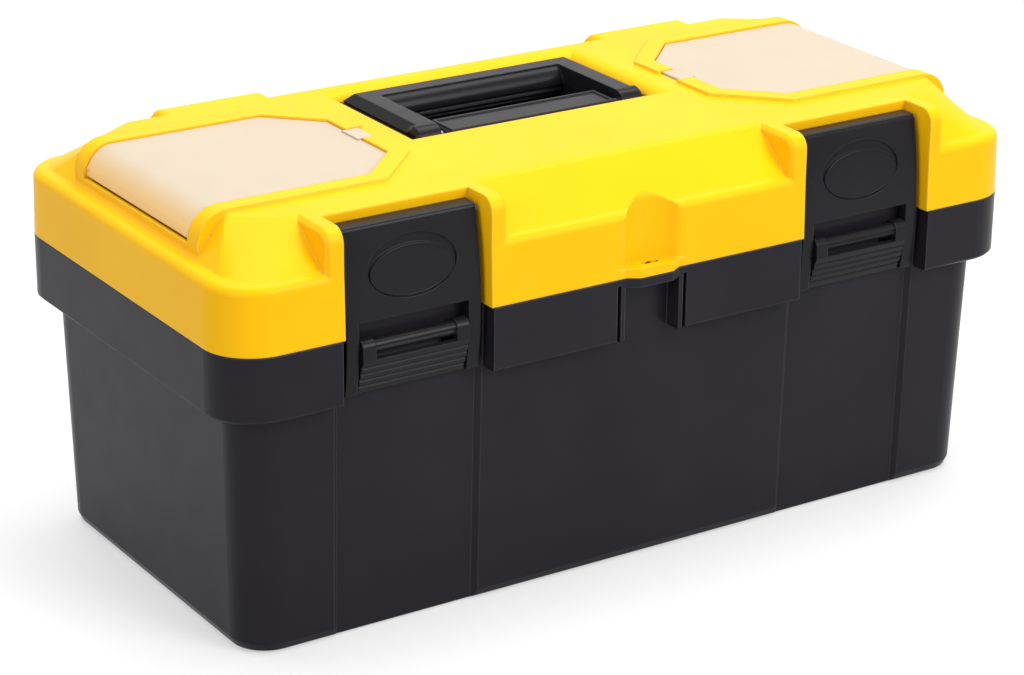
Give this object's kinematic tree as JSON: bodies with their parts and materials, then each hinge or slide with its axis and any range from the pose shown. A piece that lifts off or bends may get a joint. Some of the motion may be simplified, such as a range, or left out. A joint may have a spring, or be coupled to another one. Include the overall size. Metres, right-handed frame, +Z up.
{
  "type": "portable tool box",
  "caption": "Portable moulded plastic tool box with a hinged lid, clear-topped parts wells, folding bail handle, lift-out tray and lever latches.",
  "frame": {"origin": "centre of the flat underside of the tub, on the surface the box stands on", "axes": "+X along the length to the right as seen from the latches, +Y from the latches to the rear hinges, +Z up"},
  "size_m": [0.43, 0.2214, 0.1975],
  "materials": {
    "yellow_plastic": "moulded polypropylene, fine satin grain",
    "black_plastic": "moulded polypropylene, satin",
    "frosted_plastic": "frosted translucent polypropylene",
    "steel": "drawn, zinc plated"
  },
  "bodies": {
    "tub": {"tub": "black_plastic", "lid_hinge_pin_left": "steel", "lid_hinge_pin_right": "steel"},
    "lid": {"lid": "yellow_plastic", "handle_well": "black_plastic", "well_screws": "steel", "handle_pivot_pin_left": "steel", "handle_pivot_pin_right": "steel", "latch_hinge_pin_left": "steel", "latch_hinge_pin_right": "steel"},
    "handle": {"handle": "black_plastic"},
    "latch_left": {"latch_plate_left": "black_plastic"},
    "latch_right": {"latch_plate_right": "black_plastic"},
    "lever_left": {"latch_lever_left": "black_plastic"},
    "lever_right": {"latch_lever_right": "black_plastic"},
    "cover_left": {"organizer_cover_left": "frosted_plastic"},
    "cover_right": {"organizer_cover_right": "frosted_plastic"},
    "tray": {"tool_tray": "black_plastic", "tray_divider_left": "black_plastic", "tray_divider_right": "black_plastic"}
  },
  "joints": [
    {"name": "lid_hinge", "type": "hinge", "parent": "tub", "child": "lid", "pos_m": [0, 0.1094, 0.1457], "axis": [-1, 0, 0], "range_deg": [0, 100]},
    {"name": "handle_fold", "type": "hinge", "parent": "lid", "child": "handle", "pos_m": [0, 0, 0.19], "axis": [1, 0, 0], "range_deg": [0, 95]},
    {"name": "latch_left_swing", "type": "hinge", "parent": "lid", "child": "latch_left", "pos_m": [-0.1225, -0.0905, 0.1883], "axis": [-1, 0, 0], "range_deg": [0, 100]},
    {"name": "latch_right_swing", "type": "hinge", "parent": "lid", "child": "latch_right", "pos_m": [0.1225, -0.0905, 0.1883], "axis": [-1, 0, 0], "range_deg": [0, 100]},
    {"name": "lever_left_pull", "type": "hinge", "parent": "latch_left", "child": "lever_left", "pos_m": [-0.1225, -0.098, 0.1383], "axis": [-1, 0, 0], "range_deg": [-3.4, 75]},
    {"name": "lever_right_pull", "type": "hinge", "parent": "latch_right", "child": "lever_right", "pos_m": [0.1225, -0.098, 0.1383], "axis": [-1, 0, 0], "range_deg": [-3.4, 75]},
    {"name": "cover_left_hinge", "type": "hinge", "parent": "lid", "child": "cover_left", "pos_m": [-0.2015, 0, 0.186], "axis": [0, -1, 0], "range_deg": [0, 110]},
    {"name": "cover_right_hinge", "type": "hinge", "parent": "lid", "child": "cover_right", "pos_m": [0.2015, 0, 0.186], "axis": [0, 1, 0], "range_deg": [0, 110]},
    {"name": "tray_lift", "type": "slide", "parent": "tub", "child": "tray", "axis": [0, 0, 1], "range_m": [0, 0.014]}
  ]
}
